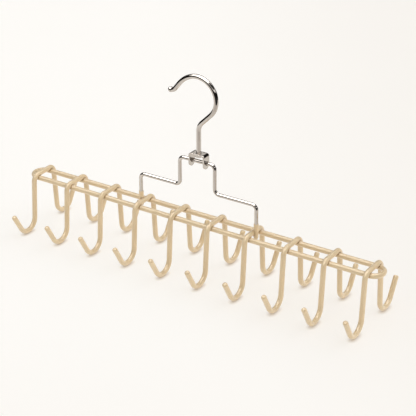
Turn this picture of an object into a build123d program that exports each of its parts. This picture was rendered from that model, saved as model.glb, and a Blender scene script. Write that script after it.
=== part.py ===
from build123d import *

import os
from math import cos, radians, sin

# A hanging rack for ties. A closed loop of coated wire carries ten bent hook wires, each with one tie
# hook to the front and one to the back. A bright wire bail stands on two of the bars, and a swivel
# saddle on its top run carries the hook that goes over a wardrobe rod.
# Millimetres. X runs along the rails, Y from front to back, Z up. The origin lies on the surface that
# the tie hooks stand on, under the middle of the rack.

os.makedirs("parts", exist_ok=True)

# Rack wire: a steel core in a soft plastic coat
core_diameter = 3.4
coat_thickness = 0.4
weld_set_down = 0.5

# Rack
hook_count = 10
hook_pitch = 34.0
rail_spacing = 15.6
rack_height = 49.4
loop_overhang = 0.4

# Tie hooks
hook_reach = 24.3
hook_bend_radius = 9.5
shoulder_radius = 5.5
leg_lean = 3.8
tip_flare = 30.0
tip_length = 16.6
tip_rounding = 1.5

# Bail
bail_diameter = 3.0
bail_gap_count = 3
bail_shoulder_height = 70.4
bail_top_height = 94.3
bail_neck_width = 32.0
bail_bend_radius = 4.0
bail_weld_set_down = 0.8
bail_foot_drop = 3.0
bail_coat_rise = 7.7
bail_foot_rounding = 1.2

# Swivel saddle
sheet_thickness = 1.4
saddle_place = 1.5
saddle_width = 14.4
saddle_depth = 7.4
saddle_rise = 5.7
saddle_bend_radius = 0.8
ear_drop = 4.8
ear_hole_clearance = 0.25
swivel_hole_clearance = 0.1

# Rod hook
rod_wire_diameter = 3.8
shank_length = 18.2
rod_arc_radius = 16.8
rod_arc_offset = -1.2
neck_bend_radius = 10.0
neck_angle = 45.0
nose_arc_radius = 25.0
nose_arc_start = 115.0
nose_arc_angle = 27.0
nose_length = 5.5
curl_radius = 5.0
curl_angle = 55.0
tip_ball_diameter = 4.4
rivet_head_diameter = 6.4
rivet_head_height = 1.4
rivet_head_rounding = 0.4
rivet_head_clearance = 0.1

# Sizes that follow from those above
core_radius = core_diameter / 2
coated_radius = core_radius + coat_thickness
bar_height = rack_height - coated_radius
rail_height = bar_height - (core_diameter - weld_set_down)
rail_offset = rail_spacing / 2
rail_half_length = (hook_count - 1) * hook_pitch / 2 + loop_overhang
hook_places = [(number - (hook_count - 1) / 2) * hook_pitch for number in range(hook_count)]

bail_radius = bail_diameter / 2
bail_coated_radius = bail_radius + coat_thickness
bail_bar_place = bail_gap_count * hook_pitch / 2
bail_foot_place = bail_bar_place + core_radius + bail_radius - bail_weld_set_down
bail_foot_height = bar_height - bail_foot_drop
bail_coat_top = bar_height + bail_coat_rise

plate_bottom = bail_top_height + saddle_rise
plate_top = plate_bottom + sheet_thickness
saddle_height = ear_drop + saddle_rise + sheet_thickness
inside_width = saddle_width - 2 * sheet_thickness
ear_round_height = bail_top_height - ear_drop + saddle_depth / 2

rod_radius = rod_wire_diameter / 2
rivet_head_top = plate_bottom - rivet_head_clearance
rivet_head_bottom = rivet_head_top - rivet_head_height


def hook_wire(place, wire_radius, end_length):
    """One bent hook wire of the given thickness, its front half mirrored from its back half."""
    lean_sine = sin(radians(leg_lean))
    lean_cosine = cos(radians(leg_lean))
    bend_drop = (shoulder_radius + hook_bend_radius) * (1 - lean_sine)
    leg_run = (bar_height - coated_radius - bend_drop) / lean_cosine
    bend_width = (shoulder_radius + hook_bend_radius) * lean_cosine
    bar_half_run = hook_reach - bend_width - leg_run * lean_sine
    with BuildPart() as wire:
        with BuildLine(Plane.YZ.offset(place)):
            bar = Line((0, bar_height), (bar_half_run, bar_height))
            shoulder = JernArc(bar @ 1, bar % 1, shoulder_radius, leg_lean - 90)
            leg = PolarLine(shoulder @ 1, leg_run, direction=shoulder % 1)
            bend = JernArc(leg @ 1, leg % 1, hook_bend_radius, 180 - leg_lean - tip_flare)
            PolarLine(bend @ 1, end_length, direction=bend % 1)
        with BuildSketch(Plane((place, 0, bar_height), x_dir=(1, 0, 0), z_dir=(0, 1, 0))):
            Circle(wire_radius)
        sweep()
        tip_edge = wire.edges().filter_by(GeomType.CIRCLE).sort_by(Axis.Y)[-1]
        fillet(tip_edge, radius=tip_rounding + wire_radius - coated_radius)
        mirror(about=Plane.XZ)
    return wire.part


def rail_wire(wire_radius):
    """The closed rail loop in a wire of the given thickness."""
    with BuildPart() as wire:
        with BuildLine(Plane.XY.offset(rail_height)):
            front = Line((-rail_half_length, -rail_offset), (rail_half_length, -rail_offset))
            right_end = JernArc(front @ 1, front % 1, rail_offset, 180)
            back = PolarLine(right_end @ 1, front.length, direction=right_end % 1)
            JernArc(back @ 1, back % 1, rail_offset, 180)
        with BuildSketch(Plane((-rail_half_length, -rail_offset, rail_height), z_dir=(1, 0, 0))):
            Circle(wire_radius)
        sweep()
    return wire.part


def foot_coat_blank(side):
    """The outer shape of the coat on one foot of the bail."""
    with BuildPart() as blank:
        with BuildSketch(Plane((side * bail_foot_place, 0, bail_foot_height - coat_thickness))):
            Circle(bail_coated_radius)
        extrude(amount=bail_coat_top - bail_foot_height + coat_thickness)
        fillet(blank.edges().sort_by(Axis.Z)[0], radius=bail_foot_rounding)
    return blank.part


# Blanks: whole wires, before the pieces are cut to fit each other
core_blanks = [hook_wire(place, core_radius, tip_length) for place in hook_places]
coated_blanks = [hook_wire(place, coated_radius, tip_length + coat_thickness) for place in hook_places]
rail_core_blank = rail_wire(core_radius)
rail_coated_blank = rail_wire(coated_radius)

# Bail: one bent wire, notched where its feet are welded to the bars
with BuildPart() as bail_blank:
    with BuildLine(Plane.XZ):
        FilletPolyline(
            (-bail_foot_place, bail_foot_height),
            (-bail_foot_place, bail_shoulder_height),
            (-bail_neck_width / 2, bail_shoulder_height),
            (-bail_neck_width / 2, bail_top_height),
            (bail_neck_width / 2, bail_top_height),
            (bail_neck_width / 2, bail_shoulder_height),
            (bail_foot_place, bail_shoulder_height),
            (bail_foot_place, bail_foot_height),
            radius=bail_bend_radius,
        )
    with BuildSketch(Plane((-bail_foot_place, 0, bail_foot_height))):
        Circle(bail_radius)
    sweep()
    fillet(bail_blank.edges().group_by(Axis.Z)[0], radius=bail_foot_rounding - coat_thickness)

bail_bars = [(hook_count - 1 - bail_gap_count) // 2, (hook_count - 1 + bail_gap_count) // 2]

with BuildPart() as bail:
    add(bail_blank.part)
    for number in bail_bars:
        add(core_blanks[number], mode=Mode.SUBTRACT)
bail.part.label = "bail"
export_step(bail.part, "parts/bail.step")

# Coat on the feet of the bail
for side, name, number in zip((-1, 1), ("bail_foot_coat_left", "bail_foot_coat_right"), bail_bars):
    with BuildPart() as foot_coat:
        add(foot_coat_blank(side))
        add(bail_blank.part, mode=Mode.SUBTRACT)
        add(coated_blanks[number], mode=Mode.SUBTRACT)
    foot_coat.part.label = name
    export_step(foot_coat.part, f"parts/{name}.step")

# Rail loop: steel core
with BuildPart() as rail_core:
    add(rail_core_blank)
rail_core.part.label = "rail_loop_core"
export_step(rail_core.part, "parts/rail_loop_core.step")

# Rail loop: coat, open where the hook wires are welded on
with BuildPart() as rail_coat:
    add(rail_coated_blank)
    add(rail_core_blank, mode=Mode.SUBTRACT)
    for core_blank in core_blanks:
        add(core_blank, mode=Mode.SUBTRACT)
rail_coat.part.label = "rail_loop_coat"
export_step(rail_coat.part, "parts/rail_loop_coat.step")

# Hook wires: a steel core notched over both rails, and its coat
for number, (core_blank, coated_blank) in enumerate(zip(core_blanks, coated_blanks)):
    with BuildPart() as hook_core:
        add(core_blank)
        add(rail_core_blank, mode=Mode.SUBTRACT)
    hook_core.part.label = f"hook_core_{number + 1:02d}"
    export_step(hook_core.part, f"parts/{hook_core.part.label}.step")

    with BuildPart() as hook_coat:
        add(coated_blank)
        add(core_blank, mode=Mode.SUBTRACT)
        add(rail_coated_blank, mode=Mode.SUBTRACT)
        if number in bail_bars:
            add(bail_blank.part, mode=Mode.SUBTRACT)
    hook_coat.part.label = f"hook_coat_{number + 1:02d}"
    export_step(hook_coat.part, f"parts/{hook_coat.part.label}.step")

# Swivel saddle: a folded sheet with a top plate and two round-ended ears on the top run of the bail
with BuildPart() as saddle:
    with BuildSketch(Plane.XZ) as folded_sheet:
        with Locations((saddle_place, bail_top_height - ear_drop)):
            Rectangle(saddle_width, saddle_height, align=(Align.CENTER, Align.MIN))
        fillet(folded_sheet.vertices().group_by(Axis.Z)[-1], radius=saddle_bend_radius + sheet_thickness)
        with BuildSketch(Plane.XZ, mode=Mode.SUBTRACT) as inside:
            with Locations((saddle_place, bail_top_height - ear_drop)):
                Rectangle(inside_width, saddle_height - sheet_thickness, align=(Align.CENTER, Align.MIN))
            fillet(inside.vertices().group_by(Axis.Z)[-1], radius=saddle_bend_radius)
    extrude(amount=saddle_depth / 2, both=True)
    with BuildSketch(Plane.YZ.offset(saddle_place)):
        with Locations((0, ear_round_height)):
            Circle(saddle_depth / 2)
            Rectangle(saddle_depth, plate_top - ear_round_height, align=(Align.CENTER, Align.MIN))
    extrude(amount=saddle_width, both=True, mode=Mode.INTERSECT)
    with BuildSketch(Plane.YZ.offset(saddle_place)):
        with Locations((0, bail_top_height)):
            Circle(bail_radius + ear_hole_clearance)
    extrude(amount=saddle_width, both=True, mode=Mode.SUBTRACT)
    with BuildSketch(Plane((saddle_place, 0, plate_top))):
        Circle(rod_radius + swivel_hole_clearance)
    extrude(amount=-saddle_rise, mode=Mode.SUBTRACT)
saddle.part.label = "swivel_saddle"
export_step(saddle.part, "parts/swivel_saddle.step")

# Rod hook: a shank riveted under the plate, a neck, the wide arc and a nose that curls out to a ball
with BuildPart() as rod_hook:
    neck_sine = sin(radians(neck_angle))
    neck_cosine = cos(radians(neck_angle))
    neck_width = rod_arc_offset + rod_arc_radius * neck_cosine - neck_bend_radius * (1 - neck_cosine)
    neck_length = neck_width / neck_sine
    with BuildLine(Plane.XZ):
        shank = Line((saddle_place, rivet_head_bottom), (saddle_place, plate_top + shank_length))
        neck_bend = JernArc(shank @ 1, shank % 1, neck_bend_radius, -neck_angle)
        neck = PolarLine(neck_bend @ 1, neck_length, direction=neck_bend % 1)
        arc = JernArc(neck @ 1, neck % 1, rod_arc_radius, neck_angle + nose_arc_start)
        nose_arc = JernArc(arc @ 1, arc % 1, nose_arc_radius, nose_arc_angle)
        nose = PolarLine(nose_arc @ 1, nose_length, direction=nose_arc % 1)
        curl = JernArc(nose @ 1, nose % 1, curl_radius, -curl_angle)
    with BuildSketch(Plane((saddle_place, 0, rivet_head_bottom))):
        Circle(rod_radius)
    sweep()
    with Locations(curl @ 1):
        Sphere(tip_ball_diameter / 2)
    with BuildSketch(Plane((saddle_place, 0, rivet_head_bottom))):
        Circle(rivet_head_diameter / 2)
    extrude(amount=rivet_head_height)
    fillet(rod_hook.edges().group_by(Axis.Z)[0], radius=rivet_head_rounding)
rod_hook.part.label = "rod_hook"
export_step(rod_hook.part, "parts/rod_hook.step")
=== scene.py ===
"""The visual model of a hanging rack for ties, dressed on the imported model.

Ten coated hook wires are welded across a closed loop of coated wire. A bright wire bail stands on two of
them and carries a swivel saddle, and in the saddle turns the bright hook that goes over a wardrobe rod.
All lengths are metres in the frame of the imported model.
"""
import logging
from dataclasses import dataclass, field
from enum import Enum
from math import asin, cos, pi, radians, sin, sqrt
from typing import Sequence

import bmesh
import bpy
import numpy as np
from mathutils import Matrix, Vector


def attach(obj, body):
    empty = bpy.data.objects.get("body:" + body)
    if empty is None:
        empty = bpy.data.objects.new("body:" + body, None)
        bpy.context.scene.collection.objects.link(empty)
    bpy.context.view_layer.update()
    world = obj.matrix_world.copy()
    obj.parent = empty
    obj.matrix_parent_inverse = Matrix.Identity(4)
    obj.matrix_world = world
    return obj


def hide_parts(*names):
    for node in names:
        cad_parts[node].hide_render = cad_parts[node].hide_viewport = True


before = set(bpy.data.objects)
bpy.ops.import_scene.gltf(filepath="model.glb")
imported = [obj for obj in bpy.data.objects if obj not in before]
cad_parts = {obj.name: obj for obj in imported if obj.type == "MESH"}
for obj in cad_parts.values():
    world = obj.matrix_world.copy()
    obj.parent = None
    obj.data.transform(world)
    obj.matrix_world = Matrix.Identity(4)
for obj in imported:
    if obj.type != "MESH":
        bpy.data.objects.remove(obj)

MM = 0.001
MERGE_DISTANCE = 0.001 * MM
ROUND_STEPS = 6
THINNING = 3
MELT_ROUNDS = 10
# Width and falloff of the painted crease shade, in multiples of the weld blend.
CREASE_WIDTH = 1.6
CREASE_FALLOFF = 1.6
LOG = logging.getLogger("tie_rack")
Color = tuple[float, float, float]
Span = tuple[float, float]
Station = tuple[Vector, float]


def srgb(red: int, green: int, blue: int) -> Color:
    """The linear colour of an sRGB triple of 0 to 255.

    Args:
        red: Red level.
        green: Green level.
        blue: Blue level.

    Returns:
        The three linear values.
    """
    def linear(level: int) -> float:
        """One channel, linear."""
        share = level / 255
        return share / 12.92 if share <= 0.04045 else ((share + 0.055) / 1.055) ** 2.4

    return linear(red), linear(green), linear(blue)


def scaled(color: Color, strength: float) -> Color:
    """The colour at a strength.

    Args:
        color: The colour.
        strength: What each channel is multiplied by.

    Returns:
        The stronger or weaker colour.
    """
    return color[0] * strength, color[1] * strength, color[2] * strength


class Body(Enum):
    """The rigid bodies of the frame."""

    RACK = "rack"
    SADDLE = "saddle"
    HOOK = "hook"


class Slot(Enum):
    """The record's material slots that go with the pieces."""

    COAT = "coat"
    WIRE = "bright_wire"
    SHEET = "bright_sheet"


class NodeSheet:
    """A short hand for filling one node tree."""

    def __init__(self, tree: bpy.types.NodeTree) -> None:
        """Keeps the tree.

        Args:
            tree: The node tree to fill.
        """
        self.tree = tree

    def add(self, kind: str, inputs: dict[str | int, object] | None = None, **settings: object) -> bpy.types.Node:
        """Adds a node.

        Args:
            kind: The node's Blender type.
            inputs: Values or sockets by input name or number.
            **settings: Properties of the node.

        Returns:
            The new node.
        """
        node = self.tree.nodes.new(kind)
        for name, value in settings.items():
            setattr(node, name, value)
        self.feed(node, inputs or {})
        return node

    def feed(self, node: bpy.types.Node, inputs: dict[str | int, object]) -> None:
        """Links or sets inputs of a node.

        Args:
            node: The node.
            inputs: Values or sockets by input name or number.
        """
        for name, value in inputs.items():
            if isinstance(value, bpy.types.NodeSocket):
                self.tree.links.new(value, node.inputs[name])
            else:
                node.inputs[name].default_value = value

    def place(self, group: bpy.types.NodeTree, values: dict[str, object]) -> bpy.types.Node:
        """Adds a group with its own values.

        Args:
            group: The group.
            values: The value of each input, by name.

        Returns:
            The new node.
        """
        node = self.add("ShaderNodeGroup", node_tree=group)
        self.feed(node, values)
        return node

    def noise(self, vector: bpy.types.NodeSocket, scale: float | bpy.types.NodeSocket, detail: float = 2.0,
              roughness: float = 0.5) -> bpy.types.NodeSocket:
        """Adds a noise texture.

        Args:
            vector: Where the noise is read.
            scale: Repeats per metre.
            detail: Octaves of finer noise.
            roughness: Weight of the finer octaves.

        Returns:
            The noise level.
        """
        node = self.add("ShaderNodeTexNoise", {"Vector": vector, "Scale": scale, "Detail": detail,
                                               "Roughness": roughness})
        return node.outputs["Fac"]

    def remap(self, value: bpy.types.NodeSocket, low: float, high: float, to_low: float | bpy.types.NodeSocket = 0.0,
              to_high: float | bpy.types.NodeSocket = 1.0) -> bpy.types.NodeSocket:
        """Maps a range of values smoothly to another range.

        Args:
            value: The value to map.
            low: Start of the range.
            high: End of the range.
            to_low: Result at the start.
            to_high: Result at the end.

        Returns:
            The mapped value.
        """
        node = self.add("ShaderNodeMapRange", {"Value": value, "From Min": low, "From Max": high,
                                               "To Min": to_low, "To Max": to_high}, interpolation_type="SMOOTHSTEP")
        return node.outputs["Result"]

    def rise(self, value: bpy.types.NodeSocket, span: Span) -> bpy.types.NodeSocket:
        """Rises smoothly from 0 to 1 over a span."""
        return self.remap(value, *span)

    def fall(self, value: bpy.types.NodeSocket, span: Span) -> bpy.types.NodeSocket:
        """Falls smoothly from 1 to 0 over a span."""
        return self.remap(value, *span, 1.0, 0.0)

    def math(self, operation: str, first: object, second: object = 0.0) -> bpy.types.NodeSocket:
        """Adds a math node.

        Args:
            operation: The operation's name.
            first: First value or socket.
            second: Second value or socket.

        Returns:
            The result.
        """
        return self.add("ShaderNodeMath", {0: first, 1: second}, operation=operation).outputs[0]

    def product(self, first: bpy.types.NodeSocket, *others: bpy.types.NodeSocket) -> bpy.types.NodeSocket:
        """Multiplies values.

        Args:
            first: The first value.
            *others: The values that it is multiplied by.

        Returns:
            The product.
        """
        result = first
        for other in others:
            result = self.math("MULTIPLY", result, other)
        return result

    def mix(self, share: object, first: object, second: object) -> bpy.types.NodeSocket:
        """Mixes two colours.

        Args:
            share: Share of the second colour.
            first: First colour or socket.
            second: Second colour or socket.

        Returns:
            The mixed colour.
        """
        node = self.add("ShaderNodeMix", {0: share, 6: first, 7: second}, data_type="RGBA")
        return node.outputs[2]

    def along(self, vector: bpy.types.NodeSocket, direction: tuple[float, float, float]) -> bpy.types.NodeSocket:
        """Adds the length of a vector along a direction.

        Args:
            vector: The vector.
            direction: A unit vector.

        Returns:
            The length.
        """
        node = self.add("ShaderNodeVectorMath", {0: vector, 1: direction}, operation="DOT_PRODUCT")
        return node.outputs["Value"]


def rgba(color: Color) -> tuple[float, float, float, float]:
    """The colour with full alpha."""
    return (*color, 1.0)


def shader_of(tree: bpy.types.NodeTree, kind: str) -> bpy.types.Node:
    """The tree's shader of one type."""
    return next(node for node in tree.nodes if node.type == kind)


class SurfaceEffects:
    """The shader groups that more than one finish uses."""

    FINE_SCALE = 14.0
    FINE_SHARE = 0.3
    SMEAR_SCALE = 2.6
    SHADE_SPAN = (0.36, 0.64)
    SMEAR_SPAN = (0.35, 0.7)

    def __init__(self) -> None:
        """Builds both groups."""
        self.mottle = self.make_mottle()
        self.relief = self.make_relief()

    @staticmethod
    def start(name: str, inputs: Sequence[tuple[str, str, object]],
              outputs: Sequence[tuple[str, str]]) -> tuple[NodeSheet, bpy.types.Node, bpy.types.Node]:
        """Starts a shader group with named sockets.

        Args:
            name: The group's name.
            inputs: Name, socket type and default of each input.
            outputs: Name and socket type of each output.

        Returns:
            The sheet, the input node and the output node.
        """
        tree = bpy.data.node_groups.new(name, "ShaderNodeTree")
        for label, kind, default in inputs:
            socket = tree.interface.new_socket(label, in_out="INPUT", socket_type=kind)
            socket.default_value = default
        for label, kind in outputs:
            tree.interface.new_socket(label, in_out="OUTPUT", socket_type=kind)
        sheet = NodeSheet(tree)
        return sheet, sheet.add("NodeGroupInput"), sheet.add("NodeGroupOutput")

    def make_mottle(self) -> bpy.types.NodeTree:
        """A colour that drifts between two near shades, with a roughness that drifts along.

        Returns:
            The group, with outputs Color and Roughness.
        """
        sheet, given, result = self.start(
            "shade_drift",
            [("Color", "NodeSocketColor", (1, 1, 1, 1)), ("Second Color", "NodeSocketColor", (1, 1, 1, 1)),
             ("Scale", "NodeSocketFloat", 40.0), ("Roughness", "NodeSocketFloat", 0.4),
             ("Roughness Spread", "NodeSocketFloat", 0.1)],
            [("Color", "NodeSocketColor"), ("Roughness", "NodeSocketFloat")])
        place = sheet.add("ShaderNodeTexCoord").outputs["Object"]
        broad = sheet.noise(place, given.outputs["Scale"], detail=3.0, roughness=0.6)
        fine = sheet.noise(place, sheet.math("MULTIPLY", given.outputs["Scale"], self.FINE_SCALE), detail=2.0)
        both = sheet.math("ADD", sheet.math("MULTIPLY", broad, 1 - self.FINE_SHARE),
                          sheet.math("MULTIPLY", fine, self.FINE_SHARE))
        share = sheet.rise(both, self.SHADE_SPAN)
        color = sheet.mix(share, given.outputs["Color"], given.outputs["Second Color"])
        patches = sheet.noise(place, sheet.math("MULTIPLY", given.outputs["Scale"], self.SMEAR_SCALE), detail=4.0)
        smear = sheet.remap(patches, *self.SMEAR_SPAN, -0.5, 0.5)
        spread = sheet.math("MULTIPLY", smear, given.outputs["Roughness Spread"])
        roughness = sheet.math("ADD", given.outputs["Roughness"], spread)
        sheet.feed(result, {"Color": color, "Roughness": roughness})
        return sheet.tree

    def make_relief(self) -> bpy.types.NodeTree:
        """A height of long soft waves and a fine grain.

        Returns:
            The group, with the output Height in metres.
        """
        sheet, given, result = self.start(
            "skin_relief",
            [("Wave Scale", "NodeSocketFloat", 120.0), ("Wave Height", "NodeSocketFloat", 0.00002),
             ("Grain Scale", "NodeSocketFloat", 2200.0), ("Grain Height", "NodeSocketFloat", 0.000004)],
            [("Height", "NodeSocketFloat")])
        place = sheet.add("ShaderNodeTexCoord").outputs["Object"]
        wave = sheet.noise(place, given.outputs["Wave Scale"], detail=1.0)
        grain = sheet.noise(place, given.outputs["Grain Scale"], detail=2.0)
        height = sheet.math("ADD", sheet.math("MULTIPLY", wave, given.outputs["Wave Height"]),
                            sheet.math("MULTIPLY", grain, given.outputs["Grain Height"]))
        sheet.feed(result, {"Height": height})
        return sheet.tree


@dataclass(frozen=True)
class Finish:
    """What every finish of the rack is described by."""

    name: str
    color: Color
    second_color: Color
    drift_scale: float
    roughness: float
    roughness_spread: float
    wave_height: float
    grain_height: float
    wave_scale: float = 120.0
    grain_scale: float = 2200.0

    def start(self, effects: SurfaceEffects) -> tuple[bpy.types.Material, NodeSheet, bpy.types.Node, bpy.types.Node]:
        """Starts the material: the drifting roughness and the relief are in place, and the colour is ready.

        Args:
            effects: The shared shader groups.

        Returns:
            The material, its sheet, its Principled shader and the node that gives the drifting colour.
        """
        material = bpy.data.materials.new(self.name)
        material.use_nodes = True
        sheet = NodeSheet(material.node_tree)
        shader = shader_of(material.node_tree, "BSDF_PRINCIPLED")
        drift = sheet.place(effects.mottle, {
            "Color": rgba(self.color), "Second Color": rgba(self.second_color), "Scale": self.drift_scale,
            "Roughness": self.roughness, "Roughness Spread": self.roughness_spread})
        relief = sheet.place(effects.relief, {
            "Wave Scale": self.wave_scale, "Wave Height": self.wave_height,
            "Grain Scale": self.grain_scale, "Grain Height": self.grain_height})
        bump = sheet.add("ShaderNodeBump", {"Height": relief.outputs["Height"], "Strength": 1.0, "Distance": 1.0})
        sheet.feed(shader, {"Roughness": drift.outputs["Roughness"], "Normal": bump.outputs["Normal"]})
        return material, sheet, shader, drift


@dataclass(frozen=True)
class VinylFinish(Finish):
    """The soft cream coat: satin, a little translucent, with painted shade in the crease where two wires meet."""

    painted_crease_shade_color: Color = srgb(142, 102, 44)
    painted_crease_shade_share: float = 0.8
    translucency: float = 0.12
    glow_spread: tuple[float, float, float] = (1.0, 0.7, 0.4)
    glow_depth: float = 0.6 * MM
    refraction: float = 1.5
    gloss: float = 0.6
    gloss_roughness: float = 0.34
    gloss_refraction: float = 1.8
    sheen: float = 0.55
    sheen_roughness: float = 0.35

    def material(self, effects: SurfaceEffects) -> bpy.types.Material:
        """The finished material.

        Args:
            effects: The shared shader groups.

        Returns:
            The material.
        """
        material, sheet, shader, drift = self.start(effects)
        # Painted shade: along the crease the coat's colour is mixed towards dark brown and its gloss fades.
        crease = sheet.add("ShaderNodeAttribute", attribute_name="crease").outputs["Fac"]
        share = sheet.math("MULTIPLY", crease, self.painted_crease_shade_share)
        color = sheet.mix(share, drift.outputs["Color"], rgba(self.painted_crease_shade_color))
        gloss = sheet.math("MULTIPLY", sheet.math("SUBTRACT", 1.0, crease), self.gloss)
        sheet.feed(shader, {
            "Base Color": color, "IOR": self.refraction, "Specular IOR Level": 0.5,
            "Subsurface Weight": self.translucency, "Subsurface Radius": self.glow_spread,
            "Subsurface Scale": self.glow_depth, "Coat Weight": gloss, "Coat Roughness": self.gloss_roughness,
            "Coat IOR": self.gloss_refraction, "Sheen Weight": self.sheen, "Sheen Roughness": self.sheen_roughness})
        return material


@dataclass(frozen=True)
class BrightFinish(Finish):
    """Plated steel: a mirror with faint drawing marks and smears."""

    smudge_color: Color = srgb(176, 170, 160)
    smudge_share: float = 0.25
    smudge_scale: float = 90.0
    smudge_span: Span = (0.52, 0.72)

    def material(self, effects: SurfaceEffects) -> bpy.types.Material:
        """The finished material.

        Args:
            effects: The shared shader groups.

        Returns:
            The material.
        """
        material, sheet, shader, drift = self.start(effects)
        place = sheet.add("ShaderNodeTexCoord").outputs["Object"]
        patches = sheet.noise(place, self.smudge_scale, detail=4.0, roughness=0.6)
        smudge = sheet.remap(patches, *self.smudge_span, 0.0, self.smudge_share)
        color = sheet.mix(smudge, drift.outputs["Color"], rgba(self.smudge_color))
        sheet.feed(shader, {"Base Color": color, "Metallic": 1.0})
        return material


@dataclass(frozen=True)
class Finishes:
    """The rack's four finishes."""

    coat: VinylFinish = VinylFinish(
        "cream_vinyl", srgb(221, 198, 159), srgb(215, 191, 151), drift_scale=45.0,
        roughness=0.44, roughness_spread=0.08, wave_height=0.012 * MM, grain_height=0.0022 * MM)
    wire: BrightFinish = BrightFinish(
        "bright_plated_wire", srgb(206, 200, 194), srgb(200, 193, 186), drift_scale=60.0,
        roughness=0.045, roughness_spread=0.03, wave_height=0.0015 * MM, grain_height=0.0002 * MM)
    sheet: BrightFinish = BrightFinish(
        "bright_plated_sheet", srgb(206, 200, 193), srgb(198, 191, 183), drift_scale=80.0,
        roughness=0.09, roughness_spread=0.05, wave_height=0.002 * MM, grain_height=0.0005 * MM)
    core: BrightFinish = BrightFinish(
        "plain_steel_core", srgb(150, 148, 145), srgb(135, 133, 130), drift_scale=50.0,
        roughness=0.40, roughness_spread=0.15, wave_height=0.004 * MM, grain_height=0.003 * MM)


class Trail:
    """A path that is walked in one plane with straight runs and tangent arcs."""

    def __init__(self, start: Vector, ahead: Vector, left: Vector) -> None:
        """Starts the path.

        Args:
            start: First point.
            ahead: Unit vector of the first direction.
            left: Unit vector to its left in the plane.
        """
        self.points: list[Vector] = [start.copy()]
        self.ahead = ahead.copy()
        self.left = left.copy()

    def run(self, length: float, steps: int = 1) -> "Trail":
        """Walks straight on.

        Args:
            length: Length of the run.
            steps: Number of points along it.

        Returns:
            The trail.
        """
        start = self.points[-1].copy()
        self.points += [start + self.ahead * (length * step / steps) for step in range(1, steps + 1)]
        return self

    def turn(self, radius: float, angle: float, step_angle: float = 3.0) -> "Trail":
        """Walks a tangent arc.

        Args:
            radius: Radius of the arc.
            angle: Degrees of the turn, positive to the left.
            step_angle: Largest angle between two points, in degrees.

        Returns:
            The trail.
        """
        side = 1.0 if angle > 0 else -1.0
        centre = self.points[-1] + self.left * (radius * side)
        spoke = self.points[-1] - centre
        ahead = self.ahead.copy()
        count = max(2, round(abs(angle) / step_angle))
        for step in range(1, count + 1):
            turned = radians(abs(angle) * step / count)
            self.points.append(centre + spoke * cos(turned) + ahead * (radius * sin(turned)))
        turned = radians(abs(angle))
        left = self.left
        self.ahead = ahead * cos(turned) + left * (side * sin(turned))
        self.left = left * cos(turned) - ahead * (side * sin(turned))
        return self


def quarter_round() -> list[float]:
    """The angles of the rings round a rounded edge, from flat side to end face, in radians."""
    return [radians(90.0 * step / ROUND_STEPS) for step in range(ROUND_STEPS + 1)]


def rounded_end(points: Sequence[Vector], radius: float, rounding: float) -> list[Station]:
    """Gives a path its girth and rounds its last edge.

    Args:
        points: The path, which ends at the wire's flat end.
        radius: Radius of the wire.
        rounding: Radius of the round along the end's edge.

    Returns:
        The stations, with the last ones drawn in round the edge.
    """
    end = points[-1]
    ahead = (points[-1] - points[-2]).normalized()
    stations = [(point, radius) for point in points if (end - point).length > rounding + 0.05 * MM]
    stations += [(end - ahead * (rounding * (1 - sin(angle))), radius - rounding + rounding * cos(angle))
                 for angle in quarter_round()]
    return stations


class WireShop:
    """Makes round wires from stations with one Geometry Nodes tree."""

    def __init__(self) -> None:
        """Builds the tree."""
        self.tree = bpy.data.node_groups.new("round_wire", "GeometryNodeTree")
        face = self.tree.interface
        face.new_socket("Geometry", in_out="INPUT", socket_type="NodeSocketGeometry")
        self.sides_socket = face.new_socket("Sides", in_out="INPUT", socket_type="NodeSocketInt").identifier
        self.finish_socket = face.new_socket("Finish", in_out="INPUT", socket_type="NodeSocketMaterial").identifier
        face.new_socket("Geometry", in_out="OUTPUT", socket_type="NodeSocketGeometry")
        sheet = NodeSheet(self.tree)
        given = sheet.add("NodeGroupInput")
        girth = sheet.add("GeometryNodeInputNamedAttribute", {"Name": "girth"}, data_type="FLOAT")
        line = sheet.add("GeometryNodeMeshToCurve", {"Mesh": given.outputs["Geometry"]})
        ring = sheet.add("GeometryNodeCurvePrimitiveCircle",
                         {"Resolution": given.outputs["Sides"], "Radius": 1.0}, mode="RADIUS")
        tube = sheet.add("GeometryNodeCurveToMesh", {
            "Curve": line.outputs["Curve"], "Profile Curve": ring.outputs["Curve"],
            "Scale": girth.outputs["Attribute"], "Fill Caps": True})
        real = sheet.add("GeometryNodeRealizeInstances", {"Geometry": tube.outputs["Mesh"]})
        smooth = sheet.add("GeometryNodeSetShadeSmooth", {"Geometry": real.outputs["Geometry"]})
        dressed = sheet.add("GeometryNodeSetMaterial", {"Geometry": smooth.outputs["Geometry"],
                                                        "Material": given.outputs["Finish"]})
        sheet.add("NodeGroupOutput", {"Geometry": dressed.outputs["Geometry"]})

    def make(self, name: str, stations: Sequence[Station], sides: int, finish: bpy.types.Material,
             closed: bool = False) -> bpy.types.Object:
        """Makes one wire as a plain mesh object.

        Args:
            name: Name of the piece.
            stations: Centre point and radius of each ring.
            sides: Number of points round the wire.
            finish: The wire's material.
            closed: Whether the last station joins the first.

        Returns:
            The piece.
        """
        mesh = bpy.data.meshes.new(name)
        count = len(stations)
        edges = [(number, number + 1) for number in range(count - 1)] + ([(count - 1, 0)] if closed else [])
        mesh.from_pydata([point for point, _ in stations], edges, [])
        girth = mesh.attributes.new("girth", "FLOAT", "POINT")
        girth.data.foreach_set("value", [radius for _, radius in stations])
        piece = new_object(name, mesh)
        modifier = piece.modifiers.new("round_wire", "NODES")
        modifier.node_group = self.tree
        modifier[self.sides_socket] = sides
        modifier[self.finish_socket] = finish
        plain(piece)
        outward(piece)
        return piece


def new_object(name: str, data: bpy.types.ID) -> bpy.types.Object:
    """Puts a new object with its data into the scene.

    Args:
        name: Name of the object.
        data: Its mesh, lamp or camera.

    Returns:
        The object.
    """
    piece = bpy.data.objects.new(name, data)
    bpy.context.collection.objects.link(piece)
    return piece


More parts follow.
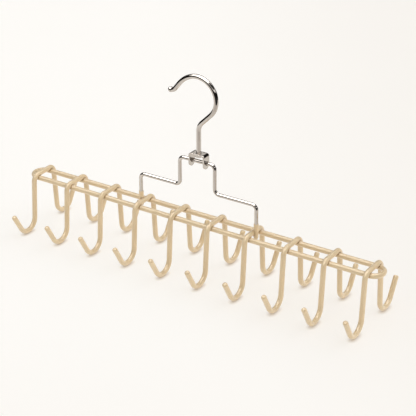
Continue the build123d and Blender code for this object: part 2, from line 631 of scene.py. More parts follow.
def plain(piece: bpy.types.Object) -> None:
    """Turns a piece with modifiers into a plain mesh.

    Args:
        piece: The piece, which keeps the result as its mesh and has no modifiers afterwards.
    """
    bpy.context.view_layer.update()
    evaluated = piece.evaluated_get(bpy.context.evaluated_depsgraph_get())
    mesh = bpy.data.meshes.new_from_object(evaluated)
    mesh.name = piece.name
    piece.modifiers.clear()
    piece.data = mesh


def outward(piece: bpy.types.Object) -> None:
    """Merges doubles and turns all faces outwards.

    Args:
        piece: The piece to mend.
    """
    work = bmesh.new()
    work.from_mesh(piece.data)
    bmesh.ops.remove_doubles(work, verts=work.verts, dist=MERGE_DISTANCE)
    bmesh.ops.recalc_face_normals(work, faces=work.faces)
    work.to_mesh(piece.data)
    work.free()


class WireField:
    """The distance from any point to a set of round wires."""

    def __init__(self, paths: Sequence[Sequence[Vector]], radius: float) -> None:
        """Keeps the wires as straight pieces.

        Args:
            paths: Points along the centre of each wire.
            radius: Radius of the wires.
        """
        starts = [point for path in paths for point in path[:-1]]
        ends = [point for path in paths for point in path[1:]]
        self.start = np.array(starts, dtype=float).reshape(-1, 3)
        self.span = np.array(ends, dtype=float).reshape(-1, 3) - self.start
        self.square = (self.span ** 2).sum(axis=1)
        self.radius = radius

    def within(self, place: float, reach: float) -> "WireField":
        """The part of the wires near one X.

        Args:
            place: The X.
            reach: How far the kept pieces may start from it.

        Returns:
            The smaller set.
        """
        part = WireField([], self.radius)
        kept = np.abs(self.start[:, 0] - place) < reach
        part.start, part.span, part.square = self.start[kept], self.span[kept], self.square[kept]
        return part

    def distance(self, points: np.ndarray) -> np.ndarray:
        """Distance from each point to the nearest wire's surface, negative inside it.

        Args:
            points: Rows of X, Y and Z.

        Returns:
            One distance for each row.
        """
        nearest = np.full(len(points), np.inf)
        for start, span, square in zip(self.start, self.span, self.square):
            offset = points - start
            share = np.clip(offset @ span / square, 0.0, 1.0)
            nearest = np.minimum(nearest, np.linalg.norm(offset - share[:, None] * span, axis=1))
        return nearest - self.radius


def flow_together(piece: bpy.types.Object, own: WireField, others: WireField, blend: float,
                  crease_shade: float = 1.0) -> None:
    """Lets the coat of one wire run up onto the wires that it touches, and marks the crease where painted shade goes.

    Each point moves along its normal until it lies on the smooth union of both coats. Past the line where
    the other coat is the nearer one, it sinks back below that coat.

    Args:
        piece: The coated wire, a plain mesh.
        own: The wire itself.
        others: The wires that it touches.
        blend: Width over which the two coats run together.
        crease_shade: How strongly the crease is marked for painted shade.
    """
    mesh = piece.data
    count = len(mesh.vertices)
    points = np.empty(count * 3)
    normals = np.empty(count * 3)
    mesh.vertices.foreach_get("co", points)
    mesh.vertex_normals.foreach_get("vector", normals)
    points = points.reshape(-1, 3)
    normals = normals.reshape(-1, 3)
    crease = np.zeros(count)
    near = others.distance(points) < 3 * blend
    spot = points[near]
    push = normals[near]
    lift = np.zeros(len(spot))
    for _ in range(MELT_ROUNDS):
        place = spot + push * lift[:, None]
        first = own.distance(place)
        second = others.distance(place)
        overlap = np.clip(1 - np.abs(first - second) / blend, 0.0, 1.0)
        lift -= np.minimum(first, second) - overlap ** 2 * blend / 4
    lift = np.clip(lift, 0.0, blend)
    place = spot + push * lift[:, None]
    beyond = np.clip((own.distance(place) - others.distance(place)) / (blend / 2), 0.0, 1.0)
    lift *= 1 - beyond
    points[near] = spot + push * lift[:, None]
    # Painted shade: the crease mark is strongest where the two coats meet and fades with distance from the other
    # wire.
    gap = np.abs(others.distance(spot)) / (CREASE_WIDTH * blend)
    crease[near] = crease_shade * np.clip(1.1 - gap, 0.0, 1.0) ** CREASE_FALLOFF
    mesh.vertices.foreach_set("co", points.ravel())
    mark = mesh.attributes.new("crease", "FLOAT", "POINT")
    mark.data.foreach_set("value", crease)
    mesh.update()


def settle(piece: bpy.types.Object, body: Body, slot: Slot, *nodes: str) -> None:
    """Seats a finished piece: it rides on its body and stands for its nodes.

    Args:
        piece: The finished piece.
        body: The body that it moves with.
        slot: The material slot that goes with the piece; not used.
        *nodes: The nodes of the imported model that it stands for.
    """
    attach(piece, body.value)
    if nodes:
        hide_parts(*nodes)
    LOG.info("%s: %d faces on %s", piece.name, len(piece.data.polygons), body.value)


@dataclass
class Rack:
    """The coated rack: ten hook wires across a closed loop of rail wire."""

    shop: WireShop
    finish: bpy.types.Material
    hook_count: int = 10
    hook_pitch: float = 34.0 * MM
    coated_radius: float = 2.1 * MM
    bar_height: float = 47.3 * MM
    rail_height: float = 44.4 * MM
    rail_offset: float = 7.8 * MM
    rail_half_length: float = 153.4 * MM
    hook_reach: float = 24.3 * MM
    bend_radius: float = 9.5 * MM
    shoulder_radius: float = 5.5 * MM
    leg_lean: float = 3.8
    tip_flare: float = 30.0
    tip_length: float = 16.99 * MM
    tip_rounding: float = 1.5 * MM
    weld_blend: float = 0.9 * MM
    weld_steps: int = 12
    weld_step: float = 0.45 * MM
    girth_drift: float = 0.008
    girth_waves: tuple[float, float, float, float] = (61.0, 170.0, 143.0, 23.0)
    bar_steps: int = 18
    leg_steps: int = 60
    tip_steps: int = 12
    sides: int = 36

    def place(self, number: int) -> float:
        """X of one hook wire, counted from 0."""
        return (number - (self.hook_count - 1) / 2) * self.hook_pitch

    def half_path(self, place: float) -> list[Vector]:
        """The centre line of a hook wire from the middle of its bar to its back tip.

        Args:
            place: X of the hook wire.

        Returns:
            The points.
        """
        lean_sine, lean_cosine = sin(radians(self.leg_lean)), cos(radians(self.leg_lean))
        drop = (self.shoulder_radius + self.bend_radius) * (1 - lean_sine)
        leg = (self.bar_height - self.coated_radius - drop) / lean_cosine
        half_bar = self.hook_reach - (self.shoulder_radius + self.bend_radius) * lean_cosine - leg * lean_sine
        trail = Trail(Vector((place, 0, self.bar_height)), Vector((0, 1, 0)), Vector((0, 0, 1)))
        trail.run(half_bar, self.bar_steps).turn(self.shoulder_radius, self.leg_lean - 90).run(leg, self.leg_steps)
        trail.turn(self.bend_radius, 180 - self.leg_lean - self.tip_flare).run(self.tip_length, self.tip_steps)
        return trail.points

    def hook_path(self, number: int) -> list[Vector]:
        """The whole centre line of a hook wire, from its front tip to its back tip.

        Args:
            number: The hook wire, counted from 0.

        Returns:
            The points.
        """
        half = self.half_path(self.place(number))
        front = [Vector((point.x, -point.y, point.z)) for point in reversed(half[1:])]
        return front + half

    def rail_path(self) -> list[Vector]:
        """The closed centre line of the rail loop, with short steps where a bar crosses it.

        Returns:
            The points.
        """
        stops = {-self.rail_half_length, self.rail_half_length}
        for number in range(self.hook_count):
            for step in range(-self.weld_steps, self.weld_steps + 1):
                stop = self.place(number) + step * self.weld_step
                stops.add(min(max(stop, -self.rail_half_length), self.rail_half_length))
            stops.add(self.place(number) + self.hook_pitch / 2)
        along = sorted(stop for stop in stops if abs(stop) <= self.rail_half_length)
        front = [Vector((stop, -self.rail_offset, self.rail_height)) for stop in along]
        trail = Trail(front[-1], Vector((1, 0, 0)), Vector((0, 1, 0)))
        trail.turn(self.rail_offset, 180)
        back = [Vector((stop, self.rail_offset, self.rail_height)) for stop in reversed(along)]
        left = Trail(back[-1], Vector((-1, 0, 0)), Vector((0, -1, 0)))
        left.turn(self.rail_offset, 180)
        return front + trail.points[1:-1] + back + left.points[1:-1]

    def coat_girth(self, point: Vector) -> float:
        """The coat's radius at a point: a dipped coat is a hair thinner here and there.

        Args:
            point: A point on a wire's centre line.

        Returns:
            The radius.
        """
        length, height, depth, slant = self.girth_waves
        wave = sin(point.x * length + point.z * height) * sin(point.y * depth + point.x * slant)
        return self.coated_radius * (1 - self.girth_drift * (1.2 + wave))

    def build(self) -> None:
        """Builds and seats the hook wires and the rail loop."""
        rail = self.rail_path()
        rails = WireField([rail + rail[:1]], self.coated_radius)
        for number in range(self.hook_count):
            self.build_hook(number, rails)
        piece = self.shop.make("rail_loop", [(point, self.coat_girth(point)) for point in rail], self.sides,
                               self.finish, closed=True)
        reach = self.rail_height - self.coated_radius + 0.1 * MM
        bars = [[point for point in self.hook_path(number) if point.z > reach][::THINNING]
                for number in range(self.hook_count)]
        flow_together(piece, rails, WireField(bars, self.coated_radius), self.weld_blend)
        settle(piece, Body.RACK, Slot.COAT, "rail_loop_coat")

    def build_hook(self, number: int, rails: WireField) -> None:
        """Builds and seats one hook wire.

        Args:
            number: The hook wire, counted from 0.
            rails: The rail loop.
        """
        path = self.hook_path(number)
        middle = len(path) // 2
        back = rounded_end(path[middle:], self.coated_radius, self.tip_rounding)
        front = rounded_end(path[middle::-1], self.coated_radius, self.tip_rounding)
        stations = list(reversed(front[1:])) + back
        full = self.coated_radius
        stations = [(point, self.coat_girth(point) if radius == full else radius) for point, radius in stations]
        piece = self.shop.make(f"hook_wire_{number + 1:02d}", stations, self.sides, self.finish)
        own = WireField([path[::THINNING]], self.coated_radius)
        flow_together(piece, own, rails.within(self.place(number), self.hook_pitch / 4), self.weld_blend)
        settle(piece, Body.RACK, Slot.COAT, f"hook_coat_{number + 1:02d}")


@dataclass
class Bail:
    """The bright bail: one bent wire that stands on two hook wires, its feet coated up to a step."""

    shop: WireShop
    finish: bpy.types.Material
    coat_finish: bpy.types.Material
    wire_radius: float = 1.5 * MM
    coated_radius: float = 1.9 * MM
    foot_place: float = 53.4 * MM
    foot_height: float = 44.3 * MM
    shoulder_height: float = 70.4 * MM
    top_height: float = 94.3 * MM
    neck_half_width: float = 16.0 * MM
    bend_radius: float = 4.0 * MM
    coat_top: float = 55.0 * MM
    coat_bottom: float = 43.9 * MM
    coat_end_rounding: float = 1.2 * MM
    coat_edge_rounding: float = 0.18 * MM
    coat_steps: int = 36
    weld_blend: float = 1.8 * MM
    # How strongly painted shade marks the crease where a foot meets its hook wire.
    weld_crease_shade: float = 0.35
    left_hook: int = 3
    right_hook: int = 6
    leg_steps: int = 3
    level_steps: int = 4
    sides: int = 48

    def path(self) -> list[Vector]:
        """The centre line of the bail from its left to its right foot.

        Returns:
            The points.
        """
        radius = self.bend_radius
        lower_leg = self.shoulder_height - self.foot_height - radius
        shoulder = self.foot_place - self.neck_half_width - 2 * radius
        upper_leg = self.top_height - self.shoulder_height - 2 * radius
        top_run = 2 * (self.neck_half_width - radius)
        trail = Trail(Vector((-self.foot_place, 0, self.foot_height)), Vector((0, 0, 1)), Vector((-1, 0, 0)))
        for leg, level, first, second in ((lower_leg, shoulder, -90, 90), (upper_leg, top_run, -90, -90),
                                          (upper_leg, shoulder, 90, -90)):
            trail.run(leg, self.leg_steps).turn(radius, first)
            trail.run(level, self.level_steps).turn(radius, second)
        return trail.run(lower_leg, self.leg_steps).points

    def foot_path(self, side: int) -> list[Vector]:
        """The centre line of one foot's coat, from its step down to its end.

        Args:
            side: -1 for the left foot and 1 for the right foot.

        Returns:
            The points.
        """
        length = self.coat_top - self.coat_bottom
        return [Vector((side * self.foot_place, 0, self.coat_top - length * step / self.coat_steps))
                for step in range(self.coat_steps + 1)]

    def build(self, rack: Rack) -> None:
        """Builds and seats the wire and the coats of its feet.

        Args:
            rack: The rack that the bail stands on.
        """
        coat = self.coated_radius - self.wire_radius
        stations = rounded_end(self.path(), self.wire_radius, self.coat_end_rounding - coat)
        wire = self.shop.make("bail_wire", stations, self.sides, self.finish)
        settle(wire, Body.RACK, Slot.WIRE, "bail")
        for side, name, number in ((-1, "left", self.left_hook), (1, "right", self.right_hook)):
            self.build_foot(side, name, rack, rack.hook_path(number))

    def build_foot(self, side: int, name: str, rack: Rack, hook: Sequence[Vector]) -> None:
        """Builds and seats the coat of one foot.

        Args:
            side: -1 for the left foot and 1 for the right foot.
            name: The side's name.
            rack: The rack that the bail stands on.
            hook: The centre line of the hook wire under the foot.
        """
        path = self.foot_path(side)
        top, edge = path[0], self.coat_edge_rounding
        inner = [(top - Vector((0, 0, 0.5 * edge)), self.wire_radius * 0.9)]
        lip = [(top - Vector((0, 0, edge * (1 - sin(angle)))), self.coated_radius - edge * (1 - cos(angle)))
               for angle in reversed(quarter_round())]
        stations = inner + lip + rounded_end(path, self.coated_radius, self.coat_end_rounding)[1:]
        piece = self.shop.make(f"bail_foot_{name}", stations, self.sides, self.coat_finish)
        own = WireField([[top, path[-1]]], self.coated_radius)
        bar = WireField([[point for point in hook if point.z > rack.rail_height][::THINNING]], rack.coated_radius)
        flow_together(piece, own, bar, self.weld_blend, self.weld_crease_shade)
        settle(piece, Body.RACK, Slot.COAT, f"bail_foot_coat_{name}")


@dataclass
class Saddle:
    """The swivel saddle: a folded sheet with a plate on top and two round-ended ears."""

    finish: bpy.types.Material
    place: float = 1.5 * MM
    thickness: float = 1.4 * MM
    width: float = 14.4 * MM
    depth: float = 7.4 * MM
    plate_top: float = 101.4 * MM
    bend_radius: float = 1.5 * MM
    ear_bottom: float = 89.5 * MM
    ear_hole_height: float = 94.3 * MM
    ear_hole_radius: float = 1.75 * MM
    swivel_hole_radius: float = 2.0 * MM
    hole_reach: float = 3.0 * MM
    edge_rounding: float = 0.2 * MM
    edge_angle: float = 50.0
    rows: int = 8
    rings: int = 3
    ring_spacing: float = 1.4
    bend_steps: int = 8
    straight_steps: int = 5
    round_steps: int = 18

    def __post_init__(self) -> None:
        """Works out the flat lengths of the sheet's middle layer."""
        self.plate_half = self.width / 2 - self.thickness / 2 - self.bend_radius
        self.bend_length = self.bend_radius * pi / 2
        self.bend_bottom = self.plate_top - self.thickness / 2 - self.bend_radius
        self.ear_start = self.plate_half + self.bend_length
        self.hole_run = self.ear_start + self.bend_bottom - self.ear_hole_height
        self.round_run = self.ear_start + self.bend_bottom - (self.ear_bottom + self.depth / 2)
        self.half_depth = self.depth / 2
        self.levels = [self.half_depth * (2 * row / self.rows - 1) for row in range(self.rows + 1)]

    def bent(self, run: float, across: float) -> Vector:
        """Folds a point of the flat sheet.

        Args:
            run: Distance from the plate's middle along the sheet.
            across: Y of the point.

        Returns:
            Its place on the sheet's middle layer.
        """
        side = 1.0 if run >= 0 else -1.0
        far = abs(run)
        middle = self.plate_top - self.thickness / 2
        if far <= self.plate_half:
            along, height = far, middle
        elif far <= self.ear_start:
            angle = (far - self.plate_half) / self.bend_radius
            along = self.plate_half + self.bend_radius * sin(angle)
            height = middle - self.bend_radius * (1 - cos(angle))
        else:
            along = self.plate_half + self.bend_radius
            height = self.bend_bottom - (far - self.ear_start)
        return Vector((self.place + side * along, across, height))

    def hole_patch(self, work: bmesh.types.BMesh, centre: float, radius: float,
                   outline: Sequence[tuple[float, float]]) -> None:
        """Fills the sheet between a hole and a closed outline round it.

        Args:
            work: The mesh to fill.
            centre: Run of the hole's centre.
            radius: Radius of the hole.
            outline: Run and Y of the outline's points, in order.
        """
        rings = []
        for ring in range(self.rings + 1):
            share = (ring / self.rings) ** self.ring_spacing
            row = []
            for run, across in outline:
                reach = sqrt((run - centre) ** 2 + across ** 2)
                inner_run = centre + (run - centre) * radius / reach
                inner_across = across * radius / reach
                row.append(work.verts.new(self.bent(inner_run + (run - inner_run) * share,
                                                    inner_across + (across - inner_across) * share)))
            rings.append(row)
        for inner, outer in zip(rings, rings[1:]):
            for number in range(len(inner)):
                following = (number + 1) % len(inner)
                work.faces.new((inner[number], inner[following], outer[following], outer[number]))

    def strip(self, work: bmesh.types.BMesh, runs: Sequence[float]) -> None:
        """Fills the full depth of the sheet between a row of runs.

        Args:
            work: The mesh to fill.
            runs: The runs of the strip's lines.
        """
        lines = [[work.verts.new(self.bent(run, level)) for level in self.levels] for run in runs]
        for near, far in zip(lines, lines[1:]):
            for row in range(self.rows):
                work.faces.new((near[row], near[row + 1], far[row + 1], far[row]))

    def plate_outline(self) -> list[tuple[float, float]]:
        """Run and Y of the points round the plate's part with the swivel hole.

        Returns:
            The points, in order.
        """
        reach, half = self.hole_reach, self.half_depth
        side_runs = [reach * (2 * step / self.rows - 1) for step in range(1, self.rows)]
        return ([(reach, level) for level in self.levels] + [(run, half) for run in reversed(side_runs)]
                + [(-reach, level) for level in reversed(self.levels)] + [(run, -half) for run in side_runs])

    def ear_outline(self, inner_edge: float) -> list[tuple[float, float]]:
        """Run and Y of the points round an ear's part with the hole for the bail.

        Args:
            inner_edge: The run at which that part starts.

        Returns:
            The points, for the ear on the right.
        """
        half, steps = self.half_depth, self.straight_steps
        straight = [inner_edge + (self.round_run - inner_edge) * step / steps for step in range(1, steps + 1)]
        arc = [(self.round_run + half * sin(angle), half * cos(angle))
               for angle in (pi * step / self.round_steps for step in range(1, self.round_steps))]
        return ([(inner_edge, level) for level in self.levels] + [(run, half) for run in straight] + arc
                + [(run, -half) for run in reversed(straight)])

    def folded_sheet(self) -> bpy.types.Mesh:
        """The sheet's middle layer, folded, with its three holes.

        Returns:
            The mesh, with no thickness yet.
        """
        work = bmesh.new()
        self.hole_patch(work, 0.0, self.swivel_hole_radius, self.plate_outline())
        inner_edge = self.hole_run - self.hole_reach
        bend_runs = [self.plate_half + self.bend_length * step / self.bend_steps
                     for step in range(self.bend_steps + 1)]
        for side in (-1, 1):
            runs = [self.hole_reach] + bend_runs + [(self.ear_start + inner_edge) / 2, inner_edge]
            self.strip(work, [side * run for run in runs])
            self.hole_patch(work, side * self.hole_run, self.ear_hole_radius,
                            [(side * run, across) for run, across in self.ear_outline(inner_edge)])
        bmesh.ops.remove_doubles(work, verts=work.verts, dist=0.01 * MM)
        bmesh.ops.recalc_face_normals(work, faces=work.faces)
        mesh = bpy.data.meshes.new("saddle_sheet")
        work.to_mesh(mesh)
        work.free()
        return mesh

    def build(self) -> None:
        """Builds and seats the saddle."""
        piece = new_object("saddle_sheet", self.folded_sheet())
        solid = piece.modifiers.new("thickness", "SOLIDIFY")
        solid.thickness = self.thickness
        solid.offset = 0.0
        solid.use_even_offset = True
        bevel = piece.modifiers.new("edges", "BEVEL")
        bevel.width = self.edge_rounding
        bevel.segments = 3
        bevel.limit_method = "ANGLE"
        bevel.angle_limit = radians(self.edge_angle)
        plain(piece)
        outward(piece)
        piece.data.materials.clear()
        piece.data.materials.append(self.finish)
        for polygon in piece.data.polygons:
            polygon.use_smooth = True
        settle(piece, Body.SADDLE, Slot.SHEET, "swivel_saddle")


@dataclass
class RodHook:
    """The hook over the wardrobe rod: a riveted shank, a neck, the wide arc and a nose with a ball end."""

    shop: WireShop
    finish: bpy.types.Material
    place: float = 1.5 * MM
    wire_radius: float = 1.89 * MM
    plate_top: float = 101.4 * MM
    rivet_bottom: float = 98.5 * MM
    rivet_top: float = 99.9 * MM
    rivet_radius: float = 3.2 * MM
    rivet_rounding: float = 0.4 * MM
    shank_length: float = 18.2 * MM
    neck_angle: float = 45.0
    neck_bend_radius: float = 10.0 * MM
    arc_radius: float = 16.8 * MM
    arc_offset: float = -1.2 * MM
    nose_arc_start: float = 115.0
    nose_arc_radius: float = 25.0 * MM
    nose_arc_angle: float = 27.0
    nose_length: float = 5.5 * MM
    curl_radius: float = 5.0 * MM
    curl_angle: float = 55.0
    ball_radius: float = 2.2 * MM
    ball_steps: int = 24
    ball_pole: float = 4.0
    shank_steps: int = 4
    run_steps: int = 3
    sides: int = 48

    def path(self) -> Trail:
        """The centre line from the rivet to the middle of the ball.

        Returns:
            The trail that walks it.
        """
        sine, cosine = sin(radians(self.neck_angle)), cos(radians(self.neck_angle))
        width = self.arc_offset + self.arc_radius * cosine - self.neck_bend_radius * (1 - cosine)
        trail = Trail(Vector((self.place, 0, self.rivet_bottom)), Vector((0, 0, 1)), Vector((-1, 0, 0)))
        trail.run(self.plate_top + self.shank_length - self.rivet_bottom, self.shank_steps)
        trail.turn(self.neck_bend_radius, -self.neck_angle).run(width / sine, self.run_steps)
        trail.turn(self.arc_radius, self.neck_angle + self.nose_arc_start)
        trail.turn(self.nose_arc_radius, self.nose_arc_angle).run(self.nose_length, self.run_steps)
        trail.turn(self.curl_radius, -self.curl_angle)
        return trail

    def wire_stations(self) -> list[Station]:
        """The rings of the wire, which swells into the ball at its end.

        Returns:
            The stations, from the rivet to the tip.
        """
        trail = self.path()
        centre = trail.points[-1]
        neck = sqrt(self.ball_radius ** 2 - self.wire_radius ** 2)
        stations = [(point, self.wire_radius) for point in trail.points
                    if (point - centre).length > neck + 0.3 * MM]
        first = pi - asin(self.wire_radius / self.ball_radius)
        for step in range(self.ball_steps + 1):
            share = step / self.ball_steps
            angle = first * (1 - share) + radians(self.ball_pole) * share
            stations.append((centre + trail.ahead * (self.ball_radius * cos(angle)),
                             self.ball_radius * sin(angle)))
        return stations

    def rivet_stations(self) -> list[Station]:
        """The rings of the rivet head, from its rounded lower edge to the plate.

        Returns:
            The stations, from below.
        """
        rings = [(self.rivet_bottom + self.rivet_rounding * (1 - sin(angle)),
                  self.rivet_radius - self.rivet_rounding * (1 - cos(angle))) for angle in reversed(quarter_round())]
        rings.append((self.rivet_top, self.rivet_radius))
        return [(Vector((self.place, 0, height)), radius) for height, radius in rings]

    def build(self) -> None:
        """Builds and seats the wire with its ball, and the rivet head under the plate."""
        wire = self.shop.make("rod_hook_wire", self.wire_stations(), self.sides, self.finish)
        settle(wire, Body.HOOK, Slot.WIRE, "rod_hook")
        head = self.shop.make("shank_rivet", self.rivet_stations(), self.sides, self.finish)
        settle(head, Body.HOOK, Slot.WIRE)


@dataclass(frozen=True)
class View:
    """Where the camera stands, as degrees, metres and a lens."""

    azimuth: float = 33.01
    elevation: float = 26.52
    roll: float = -0.07
    distance: float = 1.1003
    target: tuple[float, float, float] = (0.0098, 0.0, 0.0567)
    lens: float = 123.2
    sensor: float = 36.0

    def right(self) -> tuple[float, float, float]:
        """The level direction to the photograph's right."""
        return cos(radians(self.azimuth)), sin(radians(self.azimuth)), 0.0

    def front(self) -> tuple[float, float, float]:
        """The level direction from the rack to the front of the studio."""
        return sin(radians(self.azimuth)), -cos(radians(self.azimuth)), 0.0

    def away(self) -> Vector:
        """The direction from the rack to the camera."""
        level = Vector(self.front()) * cos(radians(self.elevation))
        return level + Vector((0, 0, sin(radians(self.elevation))))


@dataclass(frozen=True)
class Softbox:
    """A square lamp that points at the rack and that bright wire does not mirror."""

    name: str
    place: tuple[float, float, float]
    size: float
    power: float
    aim: tuple[float, float, float] = (0.0, 0.0, 0.03)

    def build(self) -> None:
        """Builds the lamp."""
        data = bpy.data.lights.new(self.name, "AREA")
        data.shape = "SQUARE"
        data.size = self.size
        data.energy = self.power
        lamp = new_object(self.name, data)
        lamp.visible_glossy = False
        lamp.location = self.place
        lamp.rotation_euler = (Vector(self.aim) - Vector(self.place)).to_track_quat("-Z", "Y").to_euler()


@dataclass(frozen=True)
class Table:
    """The pale table: what it shows to the camera, and the darker far parts that bright wire mirrors.

    The glow is painted light; it keeps the table as pale as the photograph's without more light on the rack. Its
    lower values are painted shade for the dimmer right and front and for the contact shadows, and a painted warm
    reflection of the front edge.
    """

    view: View
    size: float = 8.0
    color: Color = (0.45, 0.448, 0.444)
    cloud_gain: float = 1.01
    cloud_scale: float = 3.0
    cloud_span: Span = (0.4, 0.6)
    glow: Color = (0.578, 0.563, 0.536)
    dim_glow: Color = (0.525, 0.500, 0.465)
    contact_shadow_glow: Color = (0.27, 0.21, 0.15)
    front_reflection_glow: Color = (0.10, 0.03, 0.0)
    beyond_color: Color = (0.01, 0.01, 0.01)
    contact_reach: float = 3.5 * MM
    reach: float = 0.66
    reach_blur: float = 0.06
    side_direction: tuple[float, float, float] = (0.755, -0.656, 0.0)
    side_reach: float = 0.265
    side_blur: float = 0.02
    dim_right: Span = (-0.10, 0.28)
    dim_front: Span = (0.0, 0.36)
    dim_front_share: float = 0.7
    front_reflection_span: Span = (0.07, 0.22)
    front_reflection_share: float = 0.55
    contact_open: Span = (0.2, 1.0)

    def beyond(self, sheet: NodeSheet, place: bpy.types.NodeSocket) -> bpy.types.NodeSocket:
        """How far a point lies past the table's edges.

        Args:
            sheet: The material's nodes.
            place: The point.

        Returns:
            0 on the table and 1 past it.
        """
        distance = sheet.add("ShaderNodeVectorMath", {0: place}, operation="LENGTH").outputs["Value"]
        aside = sheet.along(place, self.side_direction)
        return sheet.math("MAXIMUM",
                          sheet.remap(distance, self.reach - self.reach_blur, self.reach + self.reach_blur),
                          sheet.remap(aside, self.side_reach - self.side_blur, self.side_reach + self.side_blur))

    def glow_color(self, sheet: NodeSheet, place: bpy.types.NodeSocket, mirrored: bpy.types.NodeSocket,
                   dark: bpy.types.NodeSocket) -> bpy.types.NodeSocket:
        """The table's own glow: painted light, with painted shade and a painted front reflection in it.

        Args:
            sheet: The material's nodes.
            place: The point.
            mirrored: 1 where a glossy surface looks at the table.
            dark: 1 where such a surface looks past its edges.

        Returns:
            The colour of the glow.
        """
        towards = sheet.along(place, self.view.front())
        # Painted shade: the glow is lower towards the right and the front.
        dim = sheet.math("MAXIMUM", sheet.rise(sheet.along(place, self.view.right()), self.dim_right),
                         sheet.remap(towards, *self.dim_front, 0.0, self.dim_front_share))
        glow = sheet.mix(dim, rgba(self.glow), rgba(self.dim_glow))
        # Painted contact shadows: the glow falls to a dark brown where the rack hems the table in.
        open_share = sheet.add("ShaderNodeAmbientOcclusion", {"Distance": self.contact_reach}).outputs["AO"]
        glow = sheet.mix(sheet.rise(open_share, self.contact_open), rgba(self.contact_shadow_glow), glow)
        # Painted reflection: only glossy rays see a warm dark front edge.
        front_reflection = sheet.product(mirrored, sheet.remap(towards, *self.front_reflection_span, 0.0, self.front_reflection_share))
        glow = sheet.mix(front_reflection, glow, rgba(self.front_reflection_glow))
        return sheet.mix(dark, glow, rgba((0.0, 0.0, 0.0)))

    def material(self) -> bpy.types.Material:
        """The table's material.

        Returns:
            The material.
        """
        material = bpy.data.materials.new("pale_floor")
        material.use_nodes = True
        sheet = NodeSheet(material.node_tree)
        shader = shader_of(material.node_tree, "BSDF_PRINCIPLED")
        place = sheet.add("ShaderNodeTexCoord").outputs["Object"]
        mirrored = sheet.add("ShaderNodeLightPath").outputs["Is Glossy Ray"]
        dark = sheet.product(mirrored, self.beyond(sheet, place))
        cloud = sheet.rise(sheet.noise(place, self.cloud_scale, detail=2.0), self.cloud_span)
        pale = sheet.mix(cloud, rgba(self.color), rgba(scaled(self.color, self.cloud_gain)))
        # The emission is painted light: the floor glows though it is no lamp.
        sheet.feed(shader, {
            "Base Color": sheet.mix(dark, pale, rgba(self.beyond_color)), "Roughness": 0.9, "Specular IOR Level": 0.1,
            "Emission Color": self.glow_color(sheet, place, mirrored, dark), "Emission Strength": 1.0})
        return material

    def build(self) -> None:
        """Builds the table."""
        half = self.size / 2
        mesh = bpy.data.meshes.new("studio_floor")
        mesh.from_pydata([(-half, -half, 0), (half, -half, 0), (half, half, 0), (-half, half, 0)], [], [(0, 1, 2, 3)])
        floor = new_object("studio_floor", mesh)
        mesh.materials.append(self.material())


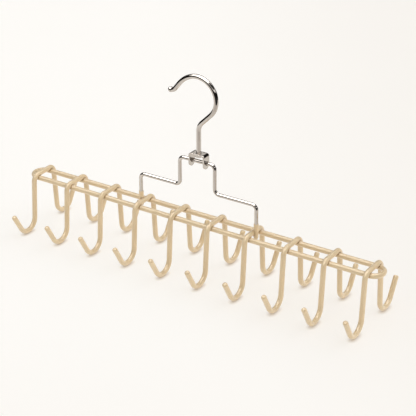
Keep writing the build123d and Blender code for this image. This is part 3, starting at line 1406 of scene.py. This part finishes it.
@dataclass(frozen=True)
class Surround:
    """The world: what lights the rack, what bright wire mirrors, and what the camera sees behind the table.

    Directions are split by their height, by how far they point to the photograph's right and by how far
    they point towards its front. Each span is a soft step in one of the three.
    """

    view: View
    background: Color = srgb(253, 251, 247)
    light_color: Color = (1.0, 0.985, 0.965)
    gap_color: Color = (0.012, 0.011, 0.010)
    dome_strength: float = 0.90
    front_strength: float = 0.74
    side_strength: float = 1.5
    zenith_strength: float = 0.45
    panel_strength: float = 0.75
    softbox_strength: float = 1.2
    ceiling_strength: float = 5.0
    wall_fade: Span = (-0.60, -0.10)
    wall_top: float = 0.88
    rim_fade: Span = (-0.35, -0.05)
    rim_tops: Span = (0.42, 0.31)
    rim_blur: Span = (0.0, 0.03)
    gap_low: Span = (0.46, 0.50)
    gap_high: Span = (0.86, 0.92)
    gap_right: Span = (-0.20, -0.05)
    gap_front: Span = (-0.30, -0.15)
    ceiling_rise: Span = (0.58, 0.68)
    panel_low: Span = (0.34, 0.38)
    panel_high: Span = (0.56, 0.60)
    panel_back: Span = (-0.80, -0.60)
    front_rise: Span = (0.0, 0.8)
    front_top: Span = (0.5, 0.8)
    zenith_rise: Span = (0.25, 0.75)
    side_rise: Span = (0.15, 0.65)

    def light(self, strength: float) -> tuple[float, float, float, float]:
        """The studio's light at a strength."""
        return rgba(scaled(self.light_color, strength))

    def mirrored_room(self, sheet: NodeSheet, height: bpy.types.NodeSocket, right: bpy.types.NodeSocket,
                      towards: bpy.types.NodeSocket) -> bpy.types.NodeSocket:
        """The dark room with its softboxes, ceiling and back panel.

        Args:
            sheet: The world's nodes.
            height: The direction's height.
            right: How far it points to the right.
            towards: How far it points to the front.

        Returns:
            The colour that a glossy surface sees.
        """
        rim = sheet.remap(right, *self.rim_fade, *self.rim_tops)
        room_top = sheet.remap(towards, *self.wall_fade, self.wall_top, rim)
        above_room = sheet.rise(sheet.math("SUBTRACT", height, room_top), self.rim_blur)
        gap = sheet.product(sheet.rise(height, self.gap_low), sheet.fall(height, self.gap_high),
                            sheet.rise(right, self.gap_right), sheet.rise(towards, self.gap_front))
        lit = sheet.product(above_room, sheet.math("SUBTRACT", 1.0, gap))
        lamps = sheet.mix(sheet.rise(height, self.ceiling_rise), self.light(self.softbox_strength),
                          self.light(self.ceiling_strength))
        room = sheet.mix(lit, rgba(self.gap_color), lamps)
        panel = sheet.product(sheet.rise(height, self.panel_low), sheet.fall(height, self.panel_high),
                              sheet.fall(towards, self.panel_back))
        return sheet.mix(panel, room, self.light(self.panel_strength))

    def lighting(self, sheet: NodeSheet, height: bpy.types.NodeSocket, right: bpy.types.NodeSocket,
                 towards: bpy.types.NodeSocket) -> bpy.types.NodeSocket:
        """The soft light on the rack: a dome that is dimmer in front and above and stronger on the right.

        Args:
            sheet: The world's nodes.
            height: The direction's height.
            right: How far it points to the right.
            towards: How far it points to the front.

        Returns:
            The colour of the light.
        """
        front = sheet.product(sheet.rise(towards, self.front_rise), sheet.fall(height, self.front_top))
        light = sheet.mix(front, self.light(self.dome_strength), self.light(self.front_strength))
        light = sheet.mix(sheet.rise(height, self.zenith_rise), light, self.light(self.zenith_strength))
        return sheet.mix(sheet.rise(right, self.side_rise), light, self.light(self.side_strength))

    def build(self) -> None:
        """Builds the world."""
        world = bpy.data.worlds.new("studio")
        world.use_nodes = True
        bpy.context.scene.world = world
        sheet = NodeSheet(world.node_tree)
        shader = shader_of(world.node_tree, "BACKGROUND")
        direction = sheet.add("ShaderNodeTexCoord").outputs["Generated"]
        split = (sheet.along(direction, (0.0, 0.0, 1.0)), sheet.along(direction, self.view.right()),
                 sheet.along(direction, self.view.front()))
        path = sheet.add("ShaderNodeLightPath")
        color = sheet.mix(path.outputs["Is Glossy Ray"], self.lighting(sheet, *split),
                          self.mirrored_room(sheet, *split))
        for ray in ("Is Transmission Ray", "Is Camera Ray"):
            color = sheet.mix(path.outputs[ray], color, rgba(self.background))
        sheet.feed(shader, {"Color": color, "Strength": 1.0})


@dataclass
class Studio:
    """The table, the surround, the lamps and the camera."""

    view: View = field(default_factory=View)
    lamps: tuple[Softbox, ...] = (Softbox("top_softbox", (-0.20, 0.30, 1.8), 2.6, 4.5),
                                  Softbox("front_softbox", (-0.20, -1.05, 1.15), 1.0, 1.6))

    def build(self) -> None:
        """Builds the whole studio."""
        Table(self.view).build()
        Surround(self.view).build()
        for lamp in self.lamps:
            lamp.build()
        self.build_camera()
        bpy.context.scene.view_settings.view_transform = "Standard"

    def build_camera(self) -> None:
        """The camera at the photograph's angle."""
        view = self.view
        away = view.away()
        data = bpy.data.cameras.new("camera")
        data.lens = view.lens
        data.sensor_width = view.sensor
        data.clip_start = 0.05
        data.clip_end = 30.0
        camera = new_object("camera", data)
        turn = (-away).to_track_quat("-Z", "Y").to_matrix().to_4x4() @ Matrix.Rotation(radians(view.roll), 4, "Z")
        camera.matrix_world = Matrix.Translation(Vector(view.target) + away * view.distance) @ turn
        bpy.context.scene.camera = camera


def dress_cores(finish: bpy.types.Material) -> None:
    """Gives the steel cores inside the coats their finish.

    Args:
        finish: The material of plain steel.
    """
    for name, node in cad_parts.items():
        if "core" in name:
            node.data.materials.clear()
            node.data.materials.append(finish)
            LOG.info("%s: plain steel inside its coat", name)


def main() -> None:
    """Builds the sub-assemblies in order, then the studio."""
    logging.basicConfig(level=logging.INFO, format="%(name)s: %(message)s")
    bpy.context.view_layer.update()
    effects = SurfaceEffects()
    finishes = Finishes()
    shop = WireShop()
    coat = finishes.coat.material(effects)
    wire = finishes.wire.material(effects)
    rack = Rack(shop, coat)
    rack.build()
    Bail(shop, wire, coat).build(rack)
    Saddle(finishes.sheet.material(effects)).build()
    RodHook(shop, wire).build()
    dress_cores(finishes.core.material(effects))
    Studio().build()


if __name__ == "__main__":
    main()
